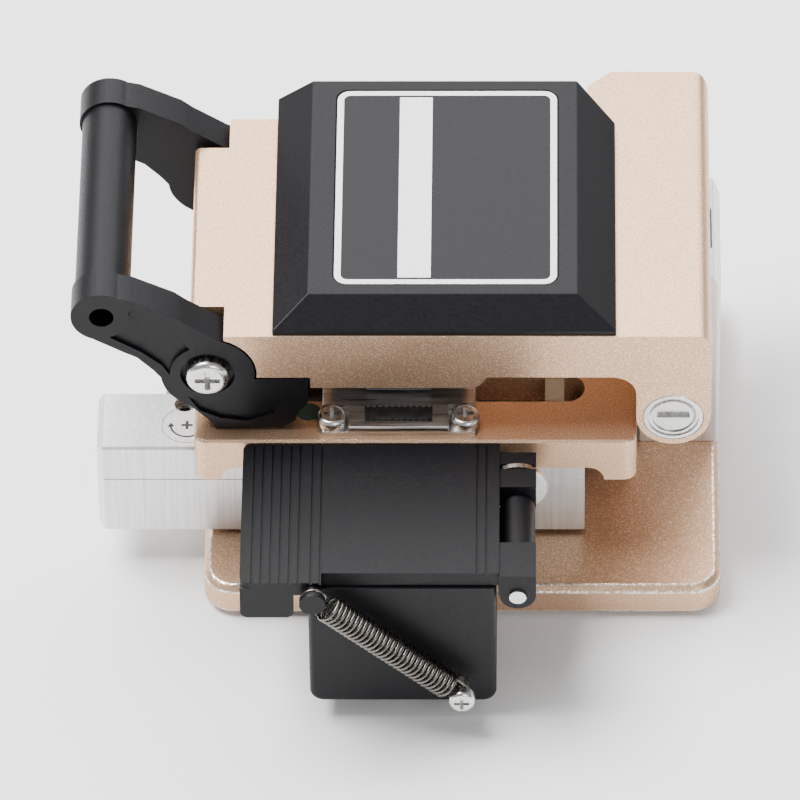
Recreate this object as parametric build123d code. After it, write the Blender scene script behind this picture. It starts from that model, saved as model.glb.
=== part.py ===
from build123d import *
import math
import os

os.makedirs("parts", exist_ok=True)

# Optical fibre cleaver. Millimetres. +X right, +Y away from the scrap bin, +Z up.
# The origin is the centre of the underside of the rubber base pad.

# --- Driving dimensions ---
base_width = 68.0
base_depth = 60.0
base_thickness = 4.6
base_corner = 4.0
pad_thickness = 0.8
pad_inset = 2.0

slider_length = 64.0
slider_depth = 10.5
slider_height = 15.1
slider_overhang = 13.9
slider_setback = 10.3
slide_gap = 0.6

deck_thickness = 4.8
deck_gap = 0.4
deck_setback = 6.3
deck_overhang = 0.9
skirt_thickness = 2.7
skirt_drop = 2.2

blade_radius = 9.5
blade_thickness = 0.8
blade_offset = 6.8
blade_start = 10.0
blade_travel = 20.0
blade_axle_radius = 1.5
shaft_clearance = 0.04

fibre_from_left = 25.8
clamp_width = 20.0
clamp_thickness = 1.5
rubber_proud = 0.3
rubber_depth = 0.5

pivot_inset = 6.4
pivot_above_deck = 2.2
lug_radius = 4.8
pin_radius = 2.7
bearing_radius = 4.0
bearing_length = 3.5

lid_setback = 8.5
lid_depth = 41.3
lid_overhang = 1.2
lid_gap = 7.6
lid_height = 9.3
lid_roof = 4.0
lid_wall = 4.0
lid_right_depth = 50.5
lid_corner = 2.0
lid_arch = 3.2

arm_thickness = 4.7
arm_web_depth = 0.5
arm_pivot_in = 2.3
arm_pivot_up = 2.5
eye_radius = 6.1
bar_reach = 13.5
bar_rise = 10.2
bar_radius = 3.6
boss_radius = 4.0
bar_hole_radius = 1.6

cover_height = 4.0
cover_wall = 1.5
cover_band = 0.8
cover_slope = 4.6

block_depth = 19.0
block_setback = 27.4
block_above_pivot = 7.3
block_width = 10.9

rail_width = 5.0
rail_height = 3.7
car_width = 12.0
car_length = 17.0
car_height = 6.0

bin_width = 24.3
bin_depth = 18.2
bin_wall = 1.5
bin_floor = 2.8
bin_left = 14.3
bin_lid_thickness = 2.2
bin_pin_radius = 1.1
bin_pin_out = 2.8
knuckle_radius = 2.35
tab_length = 8.7
spring_radius = 1.95

# --- Derived places ---
left = -base_width / 2
right = base_width / 2
front = -base_depth / 2
rear = base_depth / 2
base_top = pad_thickness + base_thickness

slider_left = left - slider_overhang
slider_right = slider_left + slider_length
slider_front = front + slider_setback
slider_rear = slider_front + slider_depth
slider_bottom = base_top + slide_gap
slider_top = slider_bottom + slider_height

deck_bottom = slider_top + deck_gap
deck_top = deck_bottom + deck_thickness
deck_left = left - deck_overhang
deck_front = front + deck_setback

fibre_x = left + fibre_from_left
clamp_top = deck_top + clamp_thickness
fibre_z = clamp_top + rubber_proud + 0.1
blade_y = slider_front + blade_offset
blade_x = fibre_x - blade_start
blade_z = fibre_z + 0.1 - blade_radius

pivot_x = right - pivot_inset
pivot_z = deck_top + pivot_above_deck
deck_right = pivot_x - lug_radius

lid_left = left - lid_overhang
lid_right = pivot_x + lug_radius + 0.1
lid_front = front + lid_setback
lid_rear = lid_front + lid_depth
lid_back = lid_front + lid_right_depth
lid_bottom = deck_top + lid_gap
lid_top = lid_bottom + lid_height
roof_z = lid_top - lid_roof

block_front = front + block_setback
block_rear = block_front + block_depth
block_right = right
block_left = block_right - block_width
block_top = pivot_z + block_above_pivot

arm_x = lid_left + arm_pivot_in
arm_z = lid_bottom + arm_pivot_up

rail_y = slider_rear + 0.6 + car_width / 2
column_front = rail_y + car_width / 2 + 0.8
column_rear = lid_rear - 1.8
car_x = blade_x + 2.0

cover_left = lid_left + 10.8
cover_right = pivot_x - 7.5
cover_front = lid_front + 0.2
cover_rear = lid_rear + 3.1

bin_x0 = left + bin_left
bin_x1 = bin_x0 + bin_width
bin_front = front - bin_depth
bin_rear = deck_front - 0.7
bin_top = deck_top - bin_lid_thickness - 0.2
bin_pin_x = bin_x1 + bin_pin_out
bin_pin_z = deck_top - 3.8


# --- Small shapes used all over ---
def block(x0, x1, y0, y1, z0, z1):
    """A box between two corners."""
    size = Box(x1 - x0, y1 - y0, z1 - z0)
    return Pos((x0 + x1) / 2, (y0 + y1) / 2, (z0 + z1) / 2) * size


def rod_z(x, y, radius, z0, z1):
    """A round bar standing along Z."""
    return Pos(x, y, (z0 + z1) / 2) * Cylinder(radius, z1 - z0)


def rod_y(x, z, radius, y0, y1):
    """A round bar lying along Y."""
    return Pos(x, (y0 + y1) / 2, z) * Rot(90, 0, 0) * Cylinder(radius, y1 - y0)


def front_prism(outline, y0, y1):
    """Extrudes an outline drawn in X and Z from y0 back to y1."""
    plane = Plane(origin=(0, y0, 0), x_dir=(1, 0, 0), z_dir=(0, -1, 0))
    face = plane * make_face(outline)
    return extrude(face, amount=-(y1 - y0))


def plan_prism(outline, z0, z1):
    """Extrudes an outline drawn in X and Y from z0 up to z1."""
    return extrude(Pos(0, 0, z0) * make_face(outline), amount=z1 - z0)


def closed(*points):
    """A closed outline of straight lines."""
    return Polyline(*points, close=True)


def pan_screw(head_radius, head_height, shank_radius, shank_length):
    """A pan-head cross-recess screw: its head stands on Z = 0 and its shank hangs down."""
    head = Pos(0, 0, head_height / 2) * Cylinder(head_radius, head_height)
    top_edge = head.edges().filter_by(GeomType.CIRCLE).sort_by(Axis.Z)[-1]
    head = fillet(top_edge, head_height * 0.45)
    arm = head_radius * 1.15
    recess = head_height * 0.6
    slot = Pos(0, 0, head_height - recess / 2) * Box(arm, head_radius * 0.26, recess)
    cross = slot + Rot(0, 0, 90) * slot
    shank = Pos(0, 0, -shank_length / 2) * Cylinder(shank_radius, shank_length)
    return head - cross + shank


def socket_screw(head_radius, head_height, shank_radius, shank_length):
    """A socket cap screw: its head stands on Z = 0 and its shank hangs down."""
    head = Pos(0, 0, head_height / 2) * Cylinder(head_radius, head_height)
    hexagon = RegularPolygon(head_radius * 0.52, 6)
    recess = head_height * 0.55
    socket = extrude(Pos(0, 0, head_height - recess) * hexagon, amount=recess)
    shank = Pos(0, 0, -shank_length / 2) * Cylinder(shank_radius, shank_length)
    return head - socket + shank


def ring(outer, inner, length):
    """A plain sleeve centred on the origin, along Z."""
    return Cylinder(outer, length) - Cylinder(inner, length)


def save(shapes, name):
    """Writes one node: a single solid, or a group of separate solids."""
    shapes = shapes if isinstance(shapes, list) else [shapes]
    solids = [solid for shape in shapes for solid in shape.solids()]
    export_step(solids[0] if len(solids) == 1 else Compound(children=solids), f"parts/{name}.step")


# --- Base plate and the rubber pad under it ---
column_left = fibre_x - 15.8
column_right = deck_right - 2.8
column_mid_y = (column_front + column_rear) / 2
column_screw_places = [(column_left + 6, column_mid_y), (column_right - 6, column_mid_y)]
block_mid_x = (block_left + block_right) / 2
block_screw_places = [(block_mid_x, block_front + 4.5), (block_mid_x, block_rear - 4.5)]
base_screw_head = 3.4
base_screw_shank = 2.0
base_screw_depth = 2.2
rail_left = left + 3.0
rail_right = block_left - 1.0
rail_pitch = 14.0
rail_screw_xs = [(rail_left + rail_right) / 2 + (i - 1.5) * rail_pitch for i in range(4)]
rail_screw_shank = 1.0
rail_screw_head = 1.8
bin_screw_ys = (front + bin_rear - bin_wall) / 2
bin_screw_places = [(bin_x0 + 5, bin_screw_ys), (bin_x1 - 5, bin_screw_ys)]
bin_screw_shank = 1.0

plate = block(left, right, front, rear, pad_thickness, base_top)
plate = fillet(plate.edges().filter_by(Axis.Z), base_corner)
plate = chamfer(plate.faces().sort_by(Axis.Z)[-1].edges(), 0.8)
plate = chamfer(plate.faces().sort_by(Axis.Z)[0].edges(), 0.3)
for x, y in column_screw_places + block_screw_places:
    plate -= rod_z(x, y, base_screw_shank, pad_thickness, base_top)
    plate -= rod_z(x, y, base_screw_head, pad_thickness, pad_thickness + base_screw_depth)
for x in rail_screw_xs:
    plate -= rod_z(x, rail_y, rail_screw_shank, base_top - 3.0, base_top)
for x, y in bin_screw_places:
    plate -= rod_z(x, y, bin_screw_shank, base_top - 3.0, base_top)
save(plate, "base_plate")

base_pad = block(left + pad_inset, right - pad_inset, front + pad_inset, rear - pad_inset, 0, pad_thickness)
base_pad = fillet(base_pad.edges().filter_by(Axis.Z), base_corner - pad_inset / 2)
save(base_pad, "base_pad")


# --- Column that carries the deck, and the screws up through the base plate ---
deck_screw_head = 2.75
deck_screw_head_height = 2.4
deck_screw_shank = 1.5
deck_screw_length = 9.0
deck_screw_places = [
    (x, y)
    for x in (column_left + 4.5, column_right - 4.5)
    for y in (column_front + 3.6, column_rear - 3.6)
]
deck_screw_seat = deck_top - deck_screw_head_height - 0.2

column = block(column_left, column_right, column_front, column_rear, base_top, deck_bottom)
column = chamfer(column.edges().filter_by(Axis.Z), 1.0)
for x, y in column_screw_places:
    column -= rod_z(x, y, base_screw_shank, base_top, base_top + 8)
for x, y in deck_screw_places:
    column -= rod_z(x, y, deck_screw_shank, deck_screw_seat - deck_screw_length, deck_bottom)
save(column, "deck_column")


def base_screw(x, y):
    """A low-head socket screw that enters the base plate from below."""
    screw = socket_screw(base_screw_head, base_screw_depth - 0.3, base_screw_shank, 9.5)
    return Pos(x, y, pad_thickness + base_screw_depth) * Rot(180, 0, 0) * screw


save([base_screw(x, y) for x, y in column_screw_places], "column_screws")


# --- Deck with its front skirt and the long blade slot ---
slot_front = blade_y - 3.4
slot_rear = blade_y + 1.7
slot_left = blade_x - blade_radius - 1.0
slot_right = blade_x + blade_travel + blade_radius + 4.8
magnet_x = lid_left + 9.6
magnet_y = lid_front + 22.0
magnet_radius = 3.0
magnet_depth = 3.0
clamp_screw_shank = 1.0
clamp_screw_xs = (fibre_x - clamp_width / 2 + 1.3, fibre_x + clamp_width / 2 - 1.3)
front_clamp_y0 = deck_front + 1.1
front_clamp_y1 = blade_y - 1.5
rear_clamp_y0 = blade_y + 1.5
rear_clamp_y1 = rear_clamp_y0 + 7.0
clamp_screw_places = [(x, y) for x in clamp_screw_xs for y in (front_clamp_y0 + 2.0, rear_clamp_y1 - 2.0)]

deck = block(deck_left, deck_right, deck_front, column_rear, deck_bottom, deck_top)
foot_z = deck_bottom - skirt_drop
skirt_rear = deck_front + skirt_thickness
for outer_x, inner_x in ((deck_left, deck_left + 5.7), (deck_right, deck_right - 6.4)):
    deck += block(min(outer_x, inner_x), max(outer_x, inner_x), deck_front, skirt_rear, foot_z, deck_bottom)
    deck -= rod_y(inner_x, foot_z, skirt_drop, deck_front, skirt_rear)
deck = fillet(deck.edges().filter_by(Axis.Z).group_by(Axis.Y)[0], 1.6)
deck = chamfer(deck.faces().sort_by(Axis.Z)[-1].edges(), 0.3)
slot_length = slot_right - slot_left
slot_width = slot_rear - slot_front
slot = Pos((slot_left + slot_right) / 2, (slot_front + slot_rear) / 2) * SlotOverall(slot_length, slot_width)
deck -= extrude(Pos(0, 0, deck_bottom - 1) * slot, amount=deck_thickness + 2)
for x, y in deck_screw_places:
    deck -= rod_z(x, y, deck_screw_shank, deck_bottom, deck_top)
    deck -= rod_z(x, y, deck_screw_head, deck_screw_seat, deck_top)
for x, y in clamp_screw_places:
    deck -= rod_z(x, y, clamp_screw_shank, deck_top - 3.0, deck_top)
deck -= rod_z(magnet_x, magnet_y, magnet_radius, deck_top - magnet_depth, deck_top)
save(deck, "deck")

deck_screw = socket_screw(deck_screw_head, deck_screw_head_height, deck_screw_shank, deck_screw_length)
save([Pos(x, y, deck_screw_seat) * deck_screw for x, y in deck_screw_places], "deck_screws")

magnet = rod_z(magnet_x, magnet_y, magnet_radius, deck_top - magnet_depth, deck_top)
save(magnet, "lid_magnet")

stop_left = blade_x + blade_radius + blade_travel - 0.4
stop = block(stop_left, stop_left + 2.5, slot_front, slot_rear, deck_bottom + 0.6, deck_top - 0.8)
save(stop, "slot_stop")


# --- Lower clamps, their rubber strips and screws ---
notch_half = 2.2
notch_floor = 0.6
strip_length = 8.8
tooth_pitch = 0.8


def lower_clamp(y0, y1, screw_y, open_side):
    """A clamp plate with a square notch for each screw head and a seat for its rubber strip."""
    body = block(fibre_x - clamp_width / 2, fibre_x + clamp_width / 2, y0, y1, deck_top, clamp_top)
    body = chamfer(body.faces().sort_by(Axis.Z)[-1].edges(), 0.2)
    edge_y = y0 - 1 if open_side < 0 else y1 + 1
    far_y = screw_y - open_side * notch_half
    for x in clamp_screw_xs:
        y_low = min(edge_y, far_y)
        y_high = max(edge_y, far_y)
        body -= block(x - notch_half, x + notch_half, y_low, y_high, deck_top + notch_floor, clamp_top)
        body -= rod_z(x, screw_y, clamp_screw_shank, deck_top, clamp_top)
    return body


def rubber_strip(y0, y1, z0, z1):
    """A rubber strip whose two long edges are cut into fine teeth."""
    strip = block(fibre_x - strip_length / 2, fibre_x + strip_length / 2, y0, y1, z0, z1)
    teeth = int(strip_length / tooth_pitch)
    for i in range(teeth):
        x = fibre_x + (i - (teeth - 1) / 2) * tooth_pitch
        for y in (y0, y1):
            strip -= block(x - 0.2, x + 0.2, y - 0.2, y + 0.2, z0, z1)
    return strip


seat_z = clamp_top - rubber_depth
front_strip = (front_clamp_y0 + 1.2, front_clamp_y0 + 3.7)
rear_strip = (rear_clamp_y0 + 0.4, rear_clamp_y0 + 2.4)
for name, y0, y1, screw_y, side, strip in (
    ("front", front_clamp_y0, front_clamp_y1, front_clamp_y0 + 2.0, -1, front_strip),
    ("rear", rear_clamp_y0, rear_clamp_y1, rear_clamp_y1 - 2.0, 1, rear_strip),
):
    rubber = rubber_strip(strip[0], strip[1], seat_z, clamp_top + rubber_proud)
    half = strip_length / 2
    pocket = block(fibre_x - half, fibre_x + half, strip[0], strip[1], seat_z, clamp_top)
    save(lower_clamp(y0, y1, screw_y, side) - pocket, f"{name}_lower_clamp")
    save(rubber, f"{name}_clamp_rubber")

clamp_screw = pan_screw(1.95, 1.5, clamp_screw_shank, 3.4)
save([Pos(x, y, deck_top + notch_floor) * clamp_screw for x, y in clamp_screw_places], "clamp_screws")

sticker_x = fibre_x - clamp_width / 2 - 1.8
sticker = rod_z(sticker_x, deck_front + 5.5, 1.6, deck_top, deck_top + 0.1)
save(sticker, "inspection_sticker")


# --- Hinge block, hinge pin, stop pad ---
corner = 2.5
hinge_block = front_prism(
    closed(
        (block_left, base_top),
        (block_right, base_top),
        (block_right, block_top - corner),
        (block_right - corner * 0.4, block_top),
        (block_left + corner, block_top),
        (block_left, block_top - corner),
    ),
    block_front,
    block_rear,
)
hinge_block = chamfer(hinge_block.edges().filter_by(Axis.Z), 0.4)
hinge_block -= rod_y(pivot_x, pivot_z, pin_radius, block_front, block_rear)
for x, y in block_screw_places:
    hinge_block -= rod_z(x, y, base_screw_shank, base_top, base_top + 8)
pad_y0 = block_front + 5.5
pad_y1 = pad_y0 + 7.5
pad_x0 = block_right - 4.0
pad_x1 = block_right - 1.3
hinge_block -= block(pad_x0, pad_x1, pad_y0, pad_y1, block_top - 0.8, block_top)
save(hinge_block, "hinge_block")
save([base_screw(x, y) for x, y in block_screw_places], "hinge_block_screws")
save(block(pad_x0, pad_x1, pad_y0, pad_y1, block_top - 0.8, block_top), "lid_stop_pad")

pin = rod_y(pivot_x, pivot_z, pin_radius, lid_front + 0.3, lid_back - 0.3)
half_moon = rod_y(pivot_x, pivot_z, pin_radius * 0.8, lid_front + 0.3, lid_front + 0.9)
half_moon &= block(pivot_x - 5, pivot_x + 5, lid_front, lid_front + 1, pivot_z - 0.3, pivot_z + 5)
save(pin - half_moon, "hinge_pin")


# --- Lid: one C-shaped machined arm ---
notch_depth = arm_thickness + 0.9
pocket_left = lid_left + 6.2
block_room = 0.5
mouth_left = fibre_x + 11.3
mouth_right = pivot_x - 6.5
toe_reach = 12.9
toe_top = arm_z - 0.9
guide_spacing = 12.0
guide_radius = 0.9
guide_y = rear_clamp_y0 + 3.4
guide_xs = (fibre_x - guide_spacing / 2, fibre_x + guide_spacing / 2)
anvil_stem_radius = 0.7
cover_screw_shank = 1.0
cover_screw_places = [
    (x, y)
    for x in (cover_left + 7.0, cover_right - 7.5)
    for y in (lid_front + 8.5, lid_rear - 7.0)
]
keeper_radius = 2.6
keeper_head_radius = 3.0
handle_shank = 1.75
handle_shank_length = 9.0

lid_outline = closed(
    (lid_left, lid_bottom),
    (mouth_left - 1.2, lid_bottom),
    (mouth_left, lid_bottom + 1.2),
    (mouth_left + 0.2, lid_bottom + 1.9),
    (pivot_x - lug_radius, lid_bottom + 1.9),
    (pivot_x - lug_radius, pivot_z),
    (lid_right, pivot_z),
    (lid_right, lid_top),
    (lid_left, lid_top),
)
lid = front_prism(lid_outline, lid_front, lid_back)
arch_x = pivot_x - lug_radius - lid_arch
arch_z = lid_bottom + 1.9 - lid_arch
lid += block(arch_x, arch_x + lid_arch, lid_front, lid_back, arch_z, arch_z + lid_arch)
lid -= rod_y(arch_x, arch_z, lid_arch, lid_front, lid_back)
lug = rod_y(pivot_x, pivot_z, lug_radius, lid_front, lid_back)
lid += lug
top_edges = lid.edges().filter_by(Axis.Y).sort_by(Axis.Z)[-2:].sort_by(Axis.X)
lid = fillet(top_edges[-1], lid_corner)
top_edge = lid.edges().filter_by(Axis.Y).sort_by(Axis.Z)[-2:].sort_by(Axis.X)[0]
lid = fillet(top_edge, 0.8)

# The back edge steps forward towards the left end.
step_x = cover_right - 3.6
lid -= block(lid_left - 1, lid_left + 13.0, lid_rear, lid_back + 1, lid_bottom - 1, lid_top + 1)
lid -= block(lid_left + 13.0, step_x, cover_rear, lid_back + 1, lid_bottom - 1, lid_top + 1)
corner_cut = closed(
    (step_x - 1, lid_back + 1),
    (step_x - 1, lid_back - 2.8),
    (step_x, lid_back - 2.8),
    (step_x + 3.2, lid_back),
    (step_x + 3.2, lid_back + 1),
)
lid -= plan_prism(corner_cut, lid_bottom - 1, lid_top + 1)
round_corner = block(
    lid_right - lid_corner, lid_right + 1, lid_back - lid_corner, lid_back + 1, lid_bottom - 15, lid_top + 1
)
lid -= round_corner - rod_z(
    lid_right - lid_corner, lid_back - lid_corner, lid_corner, lid_bottom - 15, lid_top + 1
)

# Underside pocket, room for the hinge block, and the lug bores.
lid -= block(pocket_left, mouth_right, lid_front + lid_wall, lid_rear - lid_wall, pivot_z - 9, roof_z)
room_front = block_front - block_room
lid -= block(pocket_left, lid_right + 1, room_front, block_rear + block_room, pivot_z - 9, roof_z)
lid -= block(pocket_left, mouth_right, lid_rear - lid_wall - 1, lid_back + 1, lid_bottom - 9, lid_bottom - 0.01)
lid -= rod_y(pivot_x, pivot_z, bearing_radius, lid_front, lid_front + bearing_length)
lid -= rod_y(pivot_x, pivot_z, bearing_radius, lid_back - bearing_length, lid_back)
lid -= rod_y(pivot_x, pivot_z, pin_radius + 0.4, lid_front, lid_back)

# Notches for the two lever arms: an eye-shaped pocket and a slot over each toe.
for y0, y1 in ((lid_front - 1, lid_front + notch_depth), (lid_rear - notch_depth, lid_rear + 1)):
    lid -= rod_y(arm_x, arm_z, eye_radius + 0.3, y0, y1)
    lid -= block(lid_left - 1, arm_x + 2.2, y0, y1, lid_bottom - 1, lid_top + 1)
    lid -= block(arm_x, arm_x + toe_reach + 0.4, y0, y1, lid_bottom - 1, toe_top + 0.25)
    lid -= rod_y(arm_x, arm_z, handle_shank, y0 - 7, y1 + 7)
for x in guide_xs:
    lid -= rod_z(x, guide_y, guide_radius + shaft_clearance, roof_z, lid_top)
lid -= rod_z(fibre_x, blade_y, anvil_stem_radius + shaft_clearance, roof_z, lid_top)
for x, y in cover_screw_places:
    lid -= rod_z(x, y, cover_screw_shank, roof_z, lid_top)
lid -= rod_z(magnet_x, magnet_y, keeper_radius - 1.1, roof_z, roof_z + 2.5)
save(lid, "lid_arm")

bearing = Rot(90, 0, 0) * ring(bearing_radius, pin_radius + shaft_clearance, bearing_length)
save(
    [
        Pos(pivot_x, lid_front + bearing_length / 2, pivot_z) * bearing,
        Pos(pivot_x, lid_back - bearing_length / 2, pivot_z) * bearing,
    ],
    "hinge_bearings",
)

keeper = rod_z(magnet_x, magnet_y, keeper_head_radius, deck_top + 0.2, deck_top + 1.7)
keeper += rod_z(magnet_x, magnet_y, keeper_radius, deck_top + 1.7, roof_z)
keeper += rod_z(magnet_x, magnet_y, keeper_radius - 1.1, roof_z, roof_z + 2.5)
save(keeper, "magnet_keeper")


# --- Label cover, label plate and cover screws ---
cover_top = lid_top + cover_height


def cover_shape(shrink, z0, z1):
    """The cover's outer form, or its hollow when shrunk by a wall."""
    x0 = cover_left + shrink
    x1 = cover_right - shrink
    y0 = cover_front + shrink
    y1 = cover_rear - shrink
    low = closed((x0, y0), (x1, y0), (x1, y1 - 4.7), (x1 - 4.9, y1), (x0, y1))
    band_top = z0 + cover_band
    solid = extrude(Pos(0, 0, z0) * make_face(low), amount=z1 - z0)
    reach = 200
    for x, lean in ((x0, cover_slope), (x1, -cover_slope * 1.1)):
        away = -reach if lean > 0 else reach
        wedge = front_prism(
            closed((x, band_top), (x + lean, z1), (x + lean, z1 + 5), (x + away, z1 + 5), (x + away, band_top)),
            y0 - 5,
            y1 + 5,
        )
        solid -= wedge
    lean = cover_slope * 0.8
    side = Plane.YZ * make_face(
        closed((y0, band_top), (y0 + lean, z1), (y0 + lean, z1 + 5), (y0 - 20, z1 + 5), (y0 - 20, band_top))
    )
    solid -= extrude(side, amount=reach, both=True)
    return solid


label_x0 = cover_left + 7.8
label_x1 = cover_right - 7.5
label_y0 = cover_front + 5.4
label_y1 = cover_rear - 1.8
label_recess = 0.4
label_gap = 0.05

cover = cover_shape(0, lid_top, cover_top)
hollow = cover_shape(cover_wall, lid_top, cover_top - cover_wall)
cover -= hollow
for x, y in cover_screw_places:
    cover += rod_z(x, y, 2.2, lid_top, cover_top - cover_wall)
    cover -= rod_z(x, y, cover_screw_shank, lid_top, lid_top + 2.0)
recess = plan_prism(
    closed((label_x0, label_y0), (label_x1, label_y0), (label_x1, label_y1), (label_x0, label_y1)),
    cover_top - label_recess,
    cover_top,
)
recess = fillet(recess.edges().filter_by(Axis.Z), 1.8)
cover -= recess
save(cover, "label_cover")

label = block(
    label_x0 + label_gap,
    label_x1 - label_gap,
    label_y0 + label_gap,
    label_y1 - label_gap,
    cover_top - label_recess,
    cover_top - 0.1,
)
save(fillet(label.edges().filter_by(Axis.Z), 1.75), "label_plate")

cover_screw = Rot(180, 0, 0) * pan_screw(1.9, 1.4, cover_screw_shank, lid_roof + 1.8)
save([Pos(x, y, roof_z) * cover_screw for x, y in cover_screw_places], "cover_screws")


# --- Lever handle: two arms and a round bar in one moulding ---
bar_x = arm_x - bar_reach
bar_z = arm_z + bar_rise
bush_radius = 2.5


def lever_arm(y0, outer_side):
    """One arm from the bar's boss down to its toe, with a counterbore on its outer face."""
    toe_z = deck_top + 2.6
    outline = closed(
        (bar_x - 2.6, bar_z - 3.0),
        (bar_x + 2.8, bar_z - 6.3),
        (bar_x + 4.4, bar_z - 7.2),
        (bar_x + 6.4, bar_z - 9.4),
        (arm_x - 2.3, arm_z - 5.8),
        (arm_x + 0.5, arm_z - 8.9),
        (arm_x + 0.8, deck_top + 0.2),
        (arm_x + 5.1, deck_top + 0.2),
        (arm_x + 9.4, deck_top + 0.4),
        (arm_x + 11.2, toe_z - 1.0),
        (arm_x + 11.8, toe_z + 0.8),
        (arm_x + toe_reach, toe_z + 2.0),
        (arm_x + toe_reach, toe_top),
        (arm_x + 6.0, toe_top),
        (arm_x + 5.5, arm_z + 2.6),
        (arm_x + 4.0, arm_z + 4.6),
        (arm_x + 2.0, arm_z + 5.7),
        (arm_x - 2.7, arm_z + 9.0),
        (bar_x + 9.3, bar_z + 0.1),
        (bar_x + 3.9, bar_z + 2.9),
        (bar_x - 0.7, bar_z + 4.0),
    )
    flat = make_face(outline) + Pos(bar_x, bar_z) * Circle(boss_radius) + Pos(arm_x, arm_z) * Circle(eye_radius)
    plane = Plane(origin=(0, y0, 0), x_dir=(1, 0, 0), z_dir=(0, -1, 0))
    arm = extrude(plane * flat, amount=-arm_thickness)
    face_y = y0 if outer_side < 0 else y0 + arm_thickness
    outer_plane = Plane(origin=(0, face_y, 0), x_dir=(1, 0, 0), z_dir=(0, -1, 0))
    web = make_face(
        closed(
            (bar_x + 1.0, bar_z - 3.6),
            (bar_x + 5.0, bar_z - 6.2),
            (bar_x + 7.6, bar_z - 8.6),
            (arm_x - 1.2, arm_z - 6.6),
            (arm_x + 1.6, arm_z - 8.0),
            (arm_x + 5.0, arm_z - 8.5),
            (arm_x + 8.6, arm_z - 7.0),
            (arm_x + 9.4, arm_z - 4.5),
            (arm_x, arm_z),
            (arm_x - 4.4, arm_z + 8.6),
            (bar_x + 4.0, bar_z + 1.6),
        )
    )
    web -= Pos(arm_x, arm_z) * Circle(eye_radius - 1.2)
    web -= Pos(bar_x, bar_z) * Circle(boss_radius - 0.4)
    arm -= extrude(outer_plane * web, amount=outer_side * arm_web_depth)
    arm -= rod_y(arm_x, arm_z, bush_radius, y0, y0 + arm_thickness)
    face = y0 if outer_side < 0 else y0 + arm_thickness - 0.8
    arm -= rod_y(arm_x, arm_z, 3.55, face, face + 0.8)
    return arm


front_arm_y = lid_front
rear_arm_y = lid_rear - arm_thickness
lever = lever_arm(front_arm_y, -1) + lever_arm(rear_arm_y, 1)
lever += rod_y(bar_x, bar_z, bar_radius, front_arm_y + 1, rear_arm_y + arm_thickness - 1)
lever -= rod_y(bar_x, bar_z, bar_hole_radius, front_arm_y - 1, front_arm_y + 9)
lever -= rod_y(bar_x, bar_z, bar_hole_radius, rear_arm_y - 4, rear_arm_y + arm_thickness + 1)
save(lever, "lever_handle")

bush_length = arm_thickness - 0.8
bush = Rot(90, 0, 0) * ring(bush_radius, handle_shank + shaft_clearance, bush_length)
save(
    [
        Pos(arm_x, front_arm_y + 0.8 + bush_length / 2, arm_z) * bush,
        Pos(arm_x, rear_arm_y + bush_length / 2, arm_z) * bush,
    ],
    "lever_bushes",
)

lever_screw = pan_screw(2.85, 2.0, handle_shank, handle_shank_length)
front_screw = Pos(arm_x, front_arm_y + 0.7, arm_z) * Rot(90, 0, 0) * lever_screw
rear_screw = Pos(arm_x, rear_arm_y + arm_thickness - 0.7, arm_z) * Rot(-90, 0, 0) * lever_screw
save([front_screw, rear_screw], "lever_screws")


# --- Sprung upper clamps and the breaking anvil inside the lid ---
clamp_pad_bottom = clamp_top + rubber_proud + 0.05
upper_bottom = clamp_pad_bottom + 1.8
upper_top = upper_bottom + 3.4
upper_x0 = fibre_x - 9.0
upper_x1 = fibre_x + 9.0
upper_y0 = front_clamp_y1 - 1.9
upper_y1 = guide_y + 3.0
anvil_half_x = 2.7
anvil_half_y = 0.7
spring_clearance = 0.15
clip_z = lid_top + 0.2

upper = block(upper_x0, upper_x1, upper_y0, upper_y1, upper_bottom, upper_top)
upper = chamfer(upper.edges().filter_by(Axis.Z), 0.8)
upper -= block(
    fibre_x - anvil_half_x - 0.4,
    fibre_x + anvil_half_x + 0.4,
    blade_y - anvil_half_y - 0.4,
    blade_y + anvil_half_y + 0.4,
    upper_bottom,
    upper_top,
)
for x in guide_xs:
    upper -= rod_z(x, guide_y, guide_radius, upper_bottom + 0.8, upper_top)
save(upper, "upper_clamp_block")

pad_half = 4.2
save(
    [
        block(fibre_x - pad_half, fibre_x + pad_half, y0, y1, clamp_pad_bottom, upper_bottom)
        for y0, y1 in ((upper_y0 + 0.3, front_clamp_y1 - 0.1), (rear_strip[0], rear_strip[1]))
    ],
    "upper_clamp_pads",
)
guide_pins = [
    rod_z(x, guide_y, guide_radius, upper_bottom + 0.8, clip_z + 1.1) for x in guide_xs
]
save(guide_pins, "clamp_guide_pins")
clip = ring(1.7, guide_radius, 0.5)
save([Pos(x, guide_y, clip_z + 0.25) * clip for x in guide_xs], "clamp_guide_clips")

anvil_bottom = fibre_z + 0.25
anvil_top = anvil_bottom + 5.0
anvil = block(
    fibre_x - anvil_half_x,
    fibre_x + anvil_half_x,
    blade_y - anvil_half_y,
    blade_y + anvil_half_y,
    anvil_bottom,
    anvil_top,
)
anvil = chamfer(anvil.faces().sort_by(Axis.Z)[0].edges().filter_by(Axis.X), 0.3)
anvil += rod_z(fibre_x, blade_y, anvil_stem_radius, anvil_top, clip_z + 1.1)
save(anvil, "breaking_anvil")
anvil_clip = Pos(fibre_x, blade_y, clip_z + 0.25) * ring(1.4, anvil_stem_radius, 0.5)
save(anvil_clip, "anvil_clip")


def coil_envelope(inner, thickness, z0, z1):
    """The space that a small compression spring fills round its guide."""
    return Pos(0, 0, (z0 + z1) / 2) * ring(inner + thickness, inner, z1 - z0)


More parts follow.
